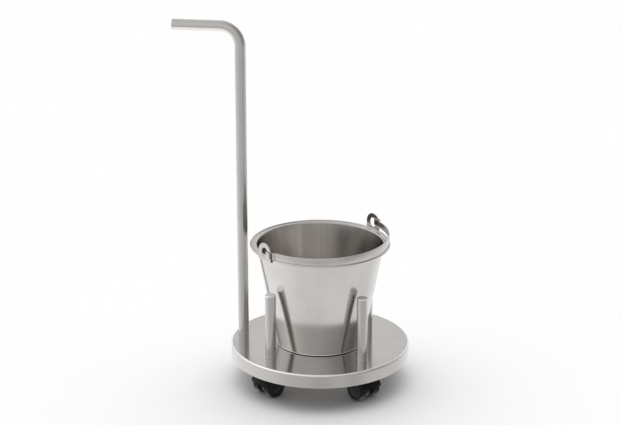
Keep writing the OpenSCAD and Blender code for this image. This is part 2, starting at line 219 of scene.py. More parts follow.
# A node with its settings and values. A socket is named by its label, with _ for each space, or
# by i and its number, and takes another node's output or a plain value.
def addNode(tree, kind, settings=None, **sockets):
    node = tree.nodes.new(kind)
    for key, value in (settings or {}).items():
        setattr(node, key, value)
    for key, value in sockets.items():
        numbered = key[0] == "i" and key[1:].isdigit()
        socket = node.inputs[int(key[1:]) if numbered else key.replace("_", " ")]
        if isinstance(value, bpy.types.NodeSocket):
            tree.links.new(value, socket)
        else:
            socket.default_value = value
    return node


# One calculation on up to three values; MULTIPLY_ADD adds the third to the product.
def mathNode(tree, operation, a, b=0.0, c=0.0):
    return addNode(tree, "ShaderNodeMath", {"operation": operation}, i0=a, i1=b, i2=c).outputs[0]


# One calculation on two vectors. A dot product gives a value, and the others a vector.
def vectorNode(tree, operation, a, b=zero):
    node = addNode(tree, "ShaderNodeVectorMath", {"operation": operation}, i0=a, i1=b)
    return node.outputs["Value" if operation == "DOT_PRODUCT" else "Vector"]


# Noise read at a place, as one value.
def noiseNode(tree, where, **values):
    return addNode(tree, "ShaderNodeTexNoise", Vector=where, **values).outputs["Fac"]


# A value's share of the way from low to high, held between 0 and 1. Smooth eases both ends.
def shareNode(tree, value, low, high, smooth=False):
    shape = {"interpolation_type": "SMOOTHSTEP" if smooth else "LINEAR"}
    node = addNode(tree, "ShaderNodeMapRange", shape, Value=value, From_Min=low, From_Max=high)
    return node.outputs[0]


# Two colours mixed: first + factor (second - first).
def mixColors(tree, factor, first, second):
    first, second = (color if isinstance(color, bpy.types.NodeSocket) else (*color, 1)
                     for color in (first, second))
    node = addNode(tree, "ShaderNodeMix", {"data_type": "RGBA"}, Factor=factor, i6=first, i7=second)
    return node.outputs[2]


# A node group with named inputs, each a number or a vector like its starting value, and one
# number as its output.
def makeGroup(name, inputs, output):
    group = bpy.data.node_groups.new(name, "ShaderNodeTree")
    for label, value in inputs.items():
        kind = "NodeSocketFloat" if isinstance(value, float) else "NodeSocketVector"
        socket = group.interface.new_socket(label, in_out="INPUT", socket_type=kind)
        socket.default_value = value
    group.interface.new_socket(output, in_out="OUTPUT", socket_type="NodeSocketFloat")
    return group, group.nodes.new("NodeGroupInput").outputs, group.nodes.new("NodeGroupOutput").inputs


# Grain that is stretched along one way: the coordinates are scaled apart, then read by noise.
def brushGroup():
    inputs = {"Vector": zero, "Lines": (40.0, 4000.0, 4000.0)}
    group, given, out = makeGroup("brushLines", inputs, "Grain")
    spread = vectorNode(group, "MULTIPLY", given["Vector"], given["Lines"])
    group.links.new(noiseNode(group, spread, Scale=1.0, Detail=3.0, Roughness=0.6), out["Grain"])
    return group


# Faint cloudy marks left by wiping: two noises of different size, one cut to soft patches.
def smudgeGroup():
    finer = 6.0
    group, given, out = makeGroup("wipeMarks", {"Vector": zero, "Size": 14.0}, "Marks")
    broad = noiseNode(group, given["Vector"], Scale=given["Size"], Detail=3.0, Roughness=0.55, Distortion=0.6)
    fineSize = mathNode(group, "MULTIPLY", given["Size"], finer)
    fine = noiseNode(group, given["Vector"], Scale=fineSize, Detail=2.0, Roughness=0.5)
    patch = shareNode(group, broad, low=0.42, high=0.66, smooth=True)
    group.links.new(mathNode(group, "MULTIPLY", patch, fine), out["Marks"])
    return group


# Thin straight scratches, running two ways: noise stretched strongly along each way and cut to
# its narrow crests.
def scratchGroup():
    crest, tilt = 0.8, 0.3
    ways = {0.5: (900.0, 18.0, 18.0), -0.9: (18.0, 1100.0, 18.0)}  # turn and stretch
    group, given, out = makeGroup("hairScratches", {"Vector": zero, "Density": 0.7}, "Scratches")
    lines = []
    for turn, stretch in ways.items():
        turned = addNode(group, "ShaderNodeMapping", Vector=given["Vector"], Scale=stretch,
                         Rotation=(0.0, tilt * turn, turn))
        noise = noiseNode(group, turned.outputs[0], Scale=1.0, Detail=1.0)
        lines.append(shareNode(group, noise, low=given["Density"], high=crest))
    group.links.new(mathNode(group, "MAXIMUM", *lines), out["Scratches"])
    return group


# Painted shade for the inside of a round vessel: a darker tone in broad streaks down the wall, from noise
# read by the angle round the upright axis alone, kept only where the surface faces that axis.
def innerShadeGroup():
    flat, inwardFrom = (1.0, 1.0, 0.0), -0.3
    inputs = {"Vector": zero, "Normal": zero, "Count": 5.0}
    group, given, out = makeGroup("paintedInnerShade", inputs, "Streaks")
    ray = vectorNode(group, "NORMALIZE", vectorNode(group, "MULTIPLY", given["Vector"], flat))
    noise = noiseNode(group, ray, Scale=given["Count"], Detail=3.0, Roughness=0.5)
    lines = shareNode(group, noise, low=0.3, high=0.7)
    facing = vectorNode(group, "DOT_PRODUCT", ray, given["Normal"])
    inward = mathNode(group, "LESS_THAN", facing, inwardFrom)
    group.links.new(mathNode(group, "MULTIPLY", lines, inward), out["Streaks"])
    return group


# Dust and scuffs: coarse noise gathers into patches, fine noise breaks them into specks.
def dustGroup():
    group, given, out = makeGroup("floorDust", {"Vector": zero, "Amount": 0.5}, "Dust")
    patch = noiseNode(group, given["Vector"], Scale=60.0, Detail=4.0)
    speck = noiseNode(group, given["Vector"], Scale=900.0, Detail=2.0)
    gathered = mathNode(group, "MULTIPLY", patch, speck)
    cut = shareNode(group, gathered, low=0.24, high=0.42, smooth=True)
    group.links.new(mathNode(group, "MULTIPLY", cut, given["Amount"]), out["Dust"])
    return group


effects = {"brush": brushGroup(), "smudge": smudgeGroup(), "scratch": scratchGroup(),
           "innerShade": innerShadeGroup(), "dust": dustGroup()}


# One of the effects, placed in a material with its own values.
def placeGroup(tree, name, **sockets):
    return addNode(tree, "ShaderNodeGroup", {"node_tree": effects[name]}, **sockets).outputs[0]


# A new material with its node tree and its shader.
def newMaterial(name):
    material = bpy.data.materials.new(name)
    material.use_nodes = True
    tree = material.node_tree
    return material, tree, tree.nodes["Principled BSDF"]


# The shader's normal leans by the slope of a height.
def addBump(tree, shader, height, look):
    bump = addNode(tree, "ShaderNodeBump", Height=height, Strength=look["bump"], Distance=look["bumpHeight"])
    tree.links.new(bump.outputs["Normal"], shader.inputs["Normal"])


# Steel: the tone and roughness drift with wiping marks, the grain runs along the surface's own
# sweep coordinates or along X, Y, Z, and hair scratches lie over both.
def makeSteel(name, look):
    material, tree, shader = newMaterial(name)
    place = tree.nodes.new("ShaderNodeTexCoord")
    where = place.outputs["Object"]
    grainWhere = place.outputs["UV"] if look["grainOn"] == "sweep" else where
    grain = placeGroup(tree, "brush", Vector=grainWhere, Lines=look["lines"])
    marks = placeGroup(tree, "smudge", Vector=where, Size=look["markSize"])
    scratches = placeGroup(tree, "scratch", Vector=where, Density=look["scratchCut"])
    tone = mixColors(tree, marks, look["color"], look["markColor"])
    # Painted shade: where the look gives a colour for it, faces that look inward take that darker tone in
    # streaks.
    if "innerShadeColor" in look:
        shadeStreaks = placeGroup(tree, "innerShade", Vector=where, Normal=place.outputs["Normal"])
        tone = mixColors(tree, shadeStreaks, tone, look["innerShadeColor"])
    tree.links.new(tone, shader.inputs["Base Color"])
    least = look["roughness"] - look["grainRoughness"] / 2
    rough = mathNode(tree, "MULTIPLY_ADD", grain, look["grainRoughness"], least)
    rough = mathNode(tree, "MULTIPLY_ADD", marks, look["markRoughness"], rough)
    rough = mathNode(tree, "MULTIPLY_ADD", scratches, look["scratchRoughness"], rough)
    tree.links.new(rough, shader.inputs["Roughness"])
    addBump(tree, shader, mathNode(tree, "MULTIPLY_ADD", scratches, -look["scratchDepth"], grain), look)
    shader.inputs["Metallic"].default_value = 1.0
    return material


# Moulded plastic or rubber: a fine moulded grain in the normal, with dust in tone and gloss.
def makePlastic(name, look):
    material, tree, shader = newMaterial(name)
    where = tree.nodes.new("ShaderNodeTexCoord").outputs["Object"]
    dust = placeGroup(tree, "dust", Vector=where, Amount=look["dust"])
    tree.links.new(mixColors(tree, dust, look["color"], look["dustColor"]), shader.inputs["Base Color"])
    rough = mathNode(tree, "MULTIPLY_ADD", dust, look["dustRoughness"], look["roughness"])
    tree.links.new(rough, shader.inputs["Roughness"])
    addBump(tree, shader, noiseNode(tree, where, Scale=look["grainScale"], Detail=2.0), look)
    shader.inputs["Specular IOR Level"].default_value = look["gloss"]
    return material


polished = {"color": (0.605, 0.585, 0.567), "markColor": (0.555, 0.534, 0.513), "roughness": 0.15,
            "grainRoughness": 0.05, "markRoughness": 0.05, "scratchRoughness": 0.08, "scratchDepth": 0.6,
            "scratchCut": 0.72, "markSize": 9.0, "bump": 0.1, "bumpHeight": 0.00004, "grainOn": "sweep",
            "lines": (25.0, 3000.0, 3000.0)}
steels = {
    "tray": makeSteel("trayPolish", {**polished, "roughness": 0.12}),
    # The bucket's inside takes a darker streaked tone: painted shade.
    "bucket": makeSteel("bucketPolish", {**polished, "roughness": 0.17, "innerShadeColor": (0.47, 0.44, 0.412)}),
    "tube": makeSteel("tubePolish", {**polished, "roughness": 0.2, "lines": (3000.0, 25.0, 3000.0)}),
    "bail": makeSteel("bailSatin", {**polished, "roughness": 0.22}),
    "under": makeSteel("underSteel", {**polished, "roughness": 0.38, "color": (0.5, 0.5, 0.5),
                                      "grainOn": "solid", "lines": (900.0, 900.0, 60.0), "markSize": 25.0}),
    "weld": makeSteel("weldSteel", {**polished, "roughness": 0.26, "bump": 0.2,
                                    "lines": (900.0, 200.0, 900.0)}),
    "cap": makeSteel("capBuffed", {**polished, "roughness": 0.46, "color": (0.93, 0.915, 0.90),
                                   "markColor": (0.88, 0.87, 0.85)}),
    # Painted highlight: near-white steel on rounded edges stands in for the bright line of light they catch.
    "edge": makeSteel("paintedEdgeHighlight", {**polished, "roughness": 0.30, "color": (0.98, 0.97, 0.96),
                                     "markColor": (0.94, 0.93, 0.92)}),
    "zinc": makeSteel("zincPlate", {**polished, "roughness": 0.3, "color": (0.6, 0.62, 0.65),
                                    "grainOn": "solid", "lines": (1500.0, 1500.0, 200.0), "markSize": 60.0}),
}
moulded = {"color": (0.008, 0.008, 0.0085), "dustColor": (0.09, 0.085, 0.08), "dustRoughness": 0.35,
           "bumpHeight": 0.00008}
plastics = {
    "hood": makePlastic("hoodNylon", {**moulded, "dust": 0.06, "roughness": 0.34, "grainScale": 1800.0,
                                      "bump": 0.35, "gloss": 0.13}),
    "wheel": makePlastic("wheelNylon", {**moulded, "dust": 0.05, "roughness": 0.28, "grainScale": 1500.0,
                                        "bump": 0.25, "gloss": 0.11}),
    "tyre": makePlastic("tyreRubber", {**moulded, "color": (0.006, 0.006, 0.006),
                                       "dustColor": (0.12, 0.11, 0.10), "dust": 0.12, "roughness": 0.5,
                                       "grainScale": 2600.0, "bump": 0.5, "gloss": 0.12}),
}
print("materials made")


# Faces get the near-white edge steel, a painted highlight, where the distance of their centre from
# the upright axis and its height pass a test.
def paintHighlightFaces(piece, test):
    piece.data.materials.append(steels["edge"])
    faces = piece.data.polygons
    centres = np.empty(3 * len(faces), np.float32)
    faces.foreach_get("center", centres)
    x, y, z = centres.reshape(-1, 3).T.astype(float) / mm
    faces.foreach_set("material_index", test(np.hypot(x, y), z).astype(np.int32))
    piece.data.update()


# Where the painted highlight lies is given in shares of the edge's radius.
tray = {"radius": 210.0, "sheet": 1.5, "top": floorPlan["trayTop"], "skirt": 62.5, "edge": 5.0, "lip": 0.6,
        "highlightIn": 0.7, "highlightDown": 0.6, "highlightSum": 0.75}


# The base's section runs out and down its inner face, and back up and in over its outer one.
# A painted highlight lies near the rim, where the ways in and down from it add up to little.
def makeTray():
    t = tray
    inner = t["radius"] - t["sheet"]
    path = sectionPath([
        (0, t["top"] - t["sheet"]), (inner, t["top"] - t["sheet"], t["edge"] - t["sheet"]),
        (inner, t["skirt"], t["lip"]), (t["radius"], t["skirt"], t["lip"]),
        (t["radius"], t["top"], t["edge"]), (0, t["top"])], arcSteps=10, span=30.0)
    piece = lathe("trayPan", path, straightSpine(zero, upward), segments=facesRound["large"])

    def onEdge(r, z):
        within, below = (t["radius"] - r) / t["edge"], (t["top"] - z) / t["edge"]
        return (within < t["highlightIn"]) & (below < t["highlightDown"]) & (within + below < t["highlightSum"])

    finishPiece(piece, "trolley", steels["tray"], "tray_steel", "tray")
    paintHighlightFaces(piece, onEdge)


makeTray()

weld = {"hollow": 0.35, "soft": 0.07}  # shares of the leg


# A weld round a tube's foot: one leg out along the sheet, one up the tube, hollow between them.
def weldBead(name, radius, leg, spine):
    hollow, soft = weld["hollow"] * leg, weld["soft"] * leg
    bead = sectionPath([(radius, 0), (radius + leg, 0, soft), (radius + hollow, hollow, leg),
                        (radius, leg, soft)], closed=True, arcSteps=5)
    return lathe(name, bead, spine, closed=True)


# The place of a corner's post or caster: a quarter turn per corner round a ring, at a height.
def cornerPlace(name, ring, z):
    return ring * heading(floorPlan["postTurn"] + 90 * corners[name]) + np.array([0, 0, z])


post = {"diameter": 25.0, "wall": 1.5, "height": 148.0, "rim": 0.35,
        "capThick": 3.0, "capChamfer": 0.8, "capRound": 0.3, "spigot": 8.0, "weldLeg": 1.0}


# Each post is a tube's section turned about its own axis, with a cap whose spigot fills the bore.
def makePosts():
    p = post
    outer, top = p["diameter"] / 2, p["height"]
    inner, capTop = outer - p["wall"], top + p["capThick"]
    tube = sectionPath([(inner, 0, 0), (outer, 0, 0), (outer, top, p["rim"]), (inner, top, p["rim"])],
                       closed=True, arcSteps=4)
    cap = sectionPath([
        (0, top - p["spigot"]), (inner, top - p["spigot"]), (inner, top), (outer, top, p["rim"]),
        (outer, capTop - p["capChamfer"], p["capRound"]), (outer - p["capChamfer"], capTop, p["capRound"]),
        (0, capTop)], arcSteps=4)
    caps, beads = [], []
    for name in corners:
        spine = straightSpine(cornerPlace(name, floorPlan["postRing"], floorPlan["trayTop"]), upward)
        piece = lathe("postTube_" + name, tube, spine, closed=True)
        finishPiece(piece, "trolley", steels["tube"], "tube_steel", "post_" + name)
        caps.append(lathe("postCaps", cap, spine))
        beads.append(weldBead("postWelds", outer, p["weldLeg"], spine))
    finishPiece(joined(caps), "trolley", steels["cap"], "tube_steel", "post_caps")
    finishPiece(joined(beads), "trolley", steels["weld"], "weld", "post_welds")


makePosts()

handle = {"diameter": 25.0, "wall": 1.5, "radius": 189.2, "turn": 165.1, "armTurn": 172.0,
          "armHeight": 745.0, "reach": 156.0, "bend": 46.0, "disc": 2.0, "discRound": 0.6,
          "plugDepth": 14.0, "plugRound": 0.5, "rim": 0.35, "weldLeg": 1.0, "span": 4.0}


# The middle of the handle's foot, on the base's top.
def handleFoot():
    return handle["radius"] * heading(handle["turn"]) + np.array([0, 0, floorPlan["trayTop"]])


# The handle's spine: straight up, a quarter circle of the bend's radius, then straight out.
def handleSpine(z):
    h = handle
    rise = h["armHeight"] - h["bend"]
    turn = np.clip((z - rise) / h["bend"], 0, np.pi / 2)
    beyond = np.clip(z - rise - h["bend"] * np.pi / 2, 0, None)
    out = h["bend"] * (1 - np.cos(turn)) + beyond
    high = np.minimum(z, rise) + h["bend"] * np.sin(turn)
    arm, up = heading(h["armTurn"]), np.array(upward)
    origin = handleFoot() + out[:, None] * arm + high[:, None] * up
    along = np.sin(turn)[:, None] * arm + np.cos(turn)[:, None] * up
    across = np.cross(up, arm) * np.ones((len(z), 1))
    return origin, np.cross(across, along), across, along


# The tube's section is carried along the spine, and the end disc's is turned about the arm.
def makeHandle():
    h = handle
    outer, inner = h["diameter"] / 2, h["diameter"] / 2 - h["wall"]
    length = h["armHeight"] - h["bend"] + h["bend"] * np.pi / 2 + h["reach"] - h["bend"] - h["disc"]
    tube = sectionPath([(inner, 0), (outer, 0), (outer, length, h["rim"]), (inner, length, h["rim"])],
                       closed=True, arcSteps=4, span=h["span"])
    piece = lathe("handleTube", tube, handleSpine, closed=True)
    finishPiece(piece, "trolley", steels["tube"], "tube_steel", "handle_tube")
    end, _, _, way = handleSpine(np.array([length]))
    disc = sectionPath([(0, -h["plugDepth"]), (inner, -h["plugDepth"], h["plugRound"]), (inner, 0),
                        (outer, 0, h["rim"]), (outer, h["disc"], h["discRound"]), (0, h["disc"])], arcSteps=5)
    piece = lathe("handleEnd", disc, straightSpine(end[0], way[0]))
    finishPiece(piece, "trolley", steels["tube"], "plug", "handle_plug")
    piece = weldBead("handleWeld", outer, h["weldLeg"], straightSpine(handleFoot(), upward))
    finishPiece(piece, "trolley", steels["weld"], "weld", "handle_weld")


makeHandle()
print("base, posts and handle made")

# Where the painted highlight lies is given in shares of the foot bead's radius.
bucket = {"bottom": 98.0, "round": 6.0, "sheet": 1.0, "lean": 10.6, "flange": 243.5, "rim": 163.3,
          "bead": 6.0, "beadRise": 1.9, "beadSteps": 32, "bend": 2.5, "span": 25.0, "footBead": 0.9,
          "footAt": 35.0, "footSoft": 0.95, "highlightFrom": 0.8, "highlightTo": 1.3, "highlightIn": 0.5}


# Outer radius of the wall at a height: the bottom's round, then a straight lean outward.
def wallRadius(z):
    b = bucket
    lean = np.radians(b["lean"])
    return (b["bottom"] + b["round"] * np.cos(lean)
            + (z - b["round"] * (1 - np.sin(lean))) * np.tan(lean))


# The shell's section runs out under the bottom, up the wall and under the flange, round the rim
# bead as a circle, and back inside. A small ring, square with round corners, edges the foot.
def makeBucket():
    b = bucket
    t = b["sheet"]
    slant = t / np.cos(np.radians(b["lean"]))
    top, under = b["flange"], b["flange"] - t
    beadR = b["bead"] / 2
    beadAt = np.array([b["rim"] - beadR, top + b["beadRise"] - beadR])
    lowAngle = -np.pi + np.arcsin((beadAt[1] - under) / beadR)
    highAngle = np.pi - np.arcsin((top - beadAt[1]) / beadR)
    outside = sectionPath([(0, 0), (wallRadius(0), 0, b["round"]), (wallRadius(under), under, b["bend"]),
                           (beadAt[0] + beadR * np.cos(lowAngle), under)], arcSteps=10, span=b["span"])
    inside = sectionPath([(beadAt[0] + beadR * np.cos(highAngle), top),
                          (wallRadius(top) - slant, top, b["bend"] + t),
                          (wallRadius(t) - slant, t, b["round"] - t), (0, t)], arcSteps=10, span=b["span"])
    a = np.linspace(lowAngle, highAngle, b["beadSteps"] + 1)
    circle = np.stack([np.cos(a), np.sin(a)], 1)
    path = np.concatenate([outside[0], beadAt + beadR * circle[1:-1], inside[0]])
    before = np.concatenate([outside[1], circle[1:], inside[1][1:]])
    after = np.concatenate([outside[2][:-1], circle[:-1], inside[2]])
    spine = straightSpine((0, 0, floorPlan["trayTop"]), upward)
    low = np.radians(b["footAt"])
    footX, footZ = b["bottom"] + b["round"] * np.cos(low), b["round"] * (1 - np.sin(low))
    f = b["footBead"]
    foot = sectionPath([(footX + x * f, footZ + z * f, b["footSoft"] * f)
                        for x, z in ((-1, -1), (1, -1), (1, 1), (-1, 1))], closed=True, arcSteps=5)
    piece = joined([lathe("bucketShell", (path, before, after), spine, segments=facesRound["large"]),
                    lathe("bucketFoot", foot, spine, closed=True, segments=facesRound["large"])])

    # Faces round the foot ring's outer side take the near-white edge steel: a painted highlight line.
    def onFoot(r, z):
        away = np.hypot(r - footX, z - floorPlan["trayTop"] - footZ) / f
        return (b["highlightFrom"] < away) & (away < b["highlightTo"]) & (r > footX - b["highlightIn"] * f)

    finishPiece(piece, "bucket", steels["bucket"], "bucket_steel", "bucket")
    paintHighlightFaces(piece, onFoot)


makeBucket()

ear = {"half": 22.0, "middle": 258.1, "inner": 164.0, "sheet": 1.5, "footTop": 239.0, "bend": 0.5,
       "slotWide": 19.0, "slotSide": 3.0, "edge": 0.4, "wallGap": 0.05, "edgeSteps": 4,
       "rays": 144, "plateSteps": 8, "bendSteps": 5, "footSteps": 6, "leastShare": 0.01}


# The ear's flat blank is measured down its inner face. Above the bend its place is the height
# itself; below it runs on round the bend and then along the foot to the bucket's wall.
def footEnd(y):
    e = ear
    bendTop = e["footTop"] + e["bend"]
    wall = np.sqrt((wallRadius(e["footTop"] - e["sheet"] / 2) + e["wallGap"]) ** 2 - y ** 2)
    return bendTop - e["bend"] * np.pi / 2 - (e["inner"] - e["bend"] - wall)


# Distance from the slot's centre to its outline and to the blank's rim along each angle:
# straight sides at a half width, round ends as circles met by the ray, and the foot's end,
# which is found by working out its distance again from its last place across.
def earOutlines(angles):
    e = ear
    endless, guess, rounds = 1e9, 30.0, 12
    c, s = np.cos(angles), np.sin(angles)
    half, straight = e["slotWide"] / 2, e["slotSide"] / 2
    toSide = half / np.maximum(np.abs(c), tiny)
    shift = straight * np.sign(s)
    toRound = s * shift + np.sqrt(np.maximum(half ** 2 - shift ** 2 * c ** 2, 0))
    slot = np.where(toSide * np.abs(s) <= straight, toSide, toRound)
    rim = np.where(s >= 0, e["half"], e["half"] / np.maximum(np.abs(c), tiny))
    toFoot = np.full(len(angles), guess)
    for _ in range(rounds):
        toFoot = (e["middle"] - footEnd(np.clip(toFoot * c, -e["half"], e["half"]))) / np.maximum(-s, tiny)
        toFoot = np.where(s < 0, toFoot, endless)
    return slot, np.minimum(rim, toFoot)


# Normals of a grid that closes both ways: the cross product of its two central differences.
def gridNormals(points):
    down = np.roll(points, -1, 0) - np.roll(points, 1, 0)
    over = np.roll(points, -1, 1) - np.roll(points, 1, 1)
    return unit(np.cross(over, down))


# An ear is a ring of rows between the slot's outline and the rim's: front face outward, round
# the rim, back face inward, round the slot. Rows gather where the sheet bends into its foot.
def makeEar(name, node, turn):
    e = ear
    sheet, inset = e["sheet"], e["edge"]
    bendTop = e["footTop"] + e["bend"]
    bendLong = e["bend"] * np.pi / 2
    marks = [bendTop, bendTop - bendLong / 2, bendTop - bendLong, float(footEnd(np.array(e["half"])))]
    cornerAngles = [np.arctan2(v - e["middle"], side * e["half"]) for v in marks for side in (-1, 1)]
    evenAngles = np.linspace(-np.pi, np.pi, e["rays"], endpoint=False)
    angles = np.sort(np.concatenate([evenAngles, cornerAngles]))[::-1]
    slot, rim = earOutlines(angles)
    first, last = slot + inset, rim - inset
    least = e["leastShare"] * (last - first)
    drop = np.maximum(-np.sin(angles), tiny)
    toBend = np.clip((e["middle"] - bendTop) / drop, first, last - 2 * least)
    pastBend = np.clip((e["middle"] - bendTop + bendLong) / drop, toBend, last - least)
    flat = [first]
    for start, end, steps in ((first, toBend, e["plateSteps"]), (toBend, pastBend, e["bendSteps"]),
                              (pastBend, last, e["footSteps"])):
        flat += [start + (end - start) * f for f in np.linspace(0, 1, steps + 1)[1:]]
    arc = np.linspace(0, np.pi / 2, e["edgeSteps"] + 1)
    rimRound = [(last + inset * np.sin(a), inset * (1 - np.cos(a))) for a in arc]
    slotRound = [(first - inset * np.sin(a), inset * (1 - np.cos(a))) for a in arc]
    ring = [(distance, sheet) for distance in flat]
    ring += [(distance, sheet - low) for distance, low in rimRound[1:]] + rimRound[::-1]
    ring += [(distance, 0.0) for distance in flat[::-1][1:]]
    ring += slotRound[1:] + [(distance, sheet - low) for distance, low in slotRound[::-1][:-1]]
    rows = np.array([distance for distance, _ in ring])
    depth = np.array([low for _, low in ring])
    y = rows * np.cos(angles)
    v = e["middle"] + rows * np.sin(angles)
    turned = np.clip((bendTop - v) / e["bend"], 0, np.pi / 2)
    along = np.clip(bendTop - bendLong - v, 0, None)
    x = e["inner"] - e["bend"] * (1 - np.cos(turned)) - along
    z = np.maximum(v, bendTop) - e["bend"] * np.sin(turned)
    facing = np.stack([np.cos(turned), np.zeros_like(turned), -np.sin(turned)], -1)
    points = np.stack([x, y, z + floorPlan["trayTop"]], -1) + depth[:, None, None] * facing
    points = points @ turning(2, np.radians(turn)).T
    normals = gridNormals(points)
    uv = np.stack([rows, v], -1)
    uv = np.concatenate([uv, uv[:, :1]], 1)
    uv = np.concatenate([uv, uv[:1]], 0)
    piece = gridMesh(name, points, normals, normals, np.zeros(len(rows), bool), uv, closed=True)
    finishPiece(piece, "bucket", steels["bail"], "bail_steel", node)


makeEar("earNear", "ear_near", floorPlan["postTurn"] + 180)
makeEar("earFar", "ear_far", floorPlan["postTurn"])

bail = {"radius": 160.0, "wide": 16.0, "thick": 2.0, "tongue": 4.4, "tongueAt": 7.2, "hookBend": 1.05,
        "tabAt": 162.0, "tabEnd": 27.0, "joggle": 4.0, "joggleBend": 3.0, "lipAt": 167.5, "lipEnd": 21.0,
        "near": 254.2, "far": 262.0, "reach": 164.0, "lift": 0.9, "droop": 0.8, "edge": 0.45, "tip": 1.2,
        "sides": 24, "lipSteps": 29, "bendSteps": 12, "tongueSteps": 4, "ringSteps": 109}


# Half of the bail's centre line in its own plane: lip, bend, tongue, bend, tab, joggle and a
# quarter of the ring. With it goes the share of the full width, which drops to the tongue's
# within the last third of each bend.
def bailHalf():
    b = bail
    lipGather, ringLead = 1.6, 0.03
    bend, deep = b["hookBend"], b["tongueAt"] + b["hookBend"]
    quarter = np.linspace(0, np.pi / 2, b["bendSteps"] + 1)
    narrow = np.clip((quarter - np.pi / 3) / (np.pi / 6), 0, 1)
    narrow = narrow * narrow * (3 - 2 * narrow)
    down = np.linspace(1, 0, b["lipSteps"] + 1) ** lipGather
    lip = np.stack([np.full(len(down), b["lipAt"]), -deep - (b["lipEnd"] - deep) * down], 1)
    outer = np.stack([b["lipAt"] - bend + bend * np.cos(quarter), -deep + bend * np.sin(quarter)], 1)
    across = np.linspace(b["lipAt"] - bend, b["tabAt"] + bend, b["tongueSteps"] + 1)
    tongue = np.stack([across, np.full(len(across), -b["tongueAt"])], 1)
    inner = np.stack([b["tabAt"] + bend - bend * np.sin(quarter), -deep + bend * np.cos(quarter)], 1)
    first = np.arcsin((b["tabEnd"] + b["joggle"]) / b["radius"])
    around = np.append(first, np.linspace(first + ringLead, np.pi / 2, b["ringSteps"] + 1))
    ring = b["radius"] * np.stack([np.cos(around), -np.sin(around)], 1)
    step, _, _ = sectionPath([(b["tabAt"], -deep), (b["tabAt"], -b["tabEnd"], b["joggleBend"]),
                              (*ring[0], b["joggleBend"]), tuple(ring[1])])
    half = np.concatenate([lip, outer[1:], tongue[1:], inner[1:], step[1:], ring[2:]])
    full = np.concatenate([np.ones(len(lip)), 1 - narrow[1:], np.zeros(len(tongue) - 1),
                           1 - narrow[::-1][1:], np.ones(len(step) - 1 + len(ring) - 2)])
    return half, full


# The bail is a rectangle with round corners carried along its centre line. Its normals lean
# along the strip by the slope of the width, so that the shoulders beside the tongue are shaded
# as the steps they are. The strip then droops, leans from ear to ear and turns with the posts.
def makeBail():
    b = bail
    grainRadius = 3.0
    half, full = bailHalf()
    path = np.concatenate([half, (half * [-1, 1])[::-1][1:]])
    full = np.concatenate([full, full[::-1][1:]])
    run = runAlong(path)
    step = unit(np.diff(path, axis=0))
    way = unit(np.concatenate([step[:1], step[:-1] + step[1:], step[-1:]]))
    tip = np.clip(np.minimum(run, run[-1] - run), 0, b["tip"])
    rounded = b["tip"] - np.sqrt(np.maximum(b["tip"] ** 2 - (b["tip"] - tip) ** 2, 0))
    halfWide = b["tongue"] / 2 + (b["wide"] - b["tongue"]) / 2 * full - rounded
    across = np.stack([way[:, 1], -way[:, 0]], 1)
    a = -np.linspace(0, 2 * np.pi, b["sides"], endpoint=False) - np.pi / b["sides"]
    signs = np.stack([np.sign(np.cos(a)), np.sign(np.sin(a))], 1)
    thick = signs[:, 0] * (b["thick"] / 2 - b["edge"]) + b["edge"] * np.cos(a)
    wide = signs[None, :, 1] * (halfWide - b["edge"])[:, None] + b["edge"] * np.sin(a)[None]
    lift = b["lift"] * (1 - full) * -np.sign(path[:, 0])
    points = np.concatenate([path[:, None] + thick[None, :, None] * across[:, None],
                             (wide + lift[:, None])[..., None]], -1)
    slope = np.gradient(halfWide, run)[:, None] * np.abs(np.sin(a))[None]
    normals = np.concatenate([np.cos(a)[None, :, None] * across[:, None] - slope[..., None] * way[:, None],
                              np.broadcast_to(np.sin(a)[None, :, None], (len(path), len(a), 1))], -1)
    poles = np.zeros(len(path) + 2, bool)
    poles[[0, -1]] = True
    ends = [np.repeat(np.append(path[i], 0.0)[None, None], len(a), 1) for i in (0, -1)]
    facing = [np.broadcast_to(np.append(s * way[i], 0.0), (1, len(a), 3)) for i, s in ((0, -1), (-1, 1))]
    points = np.concatenate([ends[0], points, ends[1]])
    before = np.concatenate([facing[0], facing[0], normals[1:], facing[1]])
    after = np.concatenate([facing[0], normals[:-1], facing[1], facing[1]])
    tilt = np.arctan((b["far"] - b["near"]) / (2 * b["reach"]))
    level = turning(1, -tilt) @ turning(0, np.radians(b["droop"]))
    spin = turning(2, np.radians(floorPlan["postTurn"]))
    middle = np.array([0, 0, floorPlan["trayTop"] + (b["near"] + b["far"]) / 2])
    points = (points @ level.T + middle) @ spin.T
    before, after = before @ (spin @ level).T, after @ (spin @ level).T
    runs = np.concatenate([[0], run, run[-1:]])
    girth = np.append(a, a[0] - 2 * np.pi) * grainRadius
    uv = np.stack(np.broadcast_arrays(runs[:, None], girth[None]), -1)
    piece = gridMesh("bailStrip", points, before, after, poles, uv)
    finishPiece(piece, "bail", steels["bail"], "bail_steel", "bail")


makeBail()
print("bucket, ears and bail made")

# The crown is the raised middle of the wheel's outer face; its foot and top are shares of the
# radius inside the rim.
caster = {"trail": 17.0, "axle": 25.0, "wheelR": 25.0, "wheelWide": 20.0, "inside": 9.5, "tyre": 3.5,
          "tyreRound": 2.5, "tyreSeat": 0.3, "bore": 3.55, "hub": 3.5, "rim": 3.0, "dip": 1.2, "face": 2.0,
          "soft": 0.4, "dishSoft": 1.0, "crown": 0.7, "crownFoot": 0.55, "crownFootSoft": 2.0,
          "crownTop": 0.45, "crownTopSoft": 1.5}


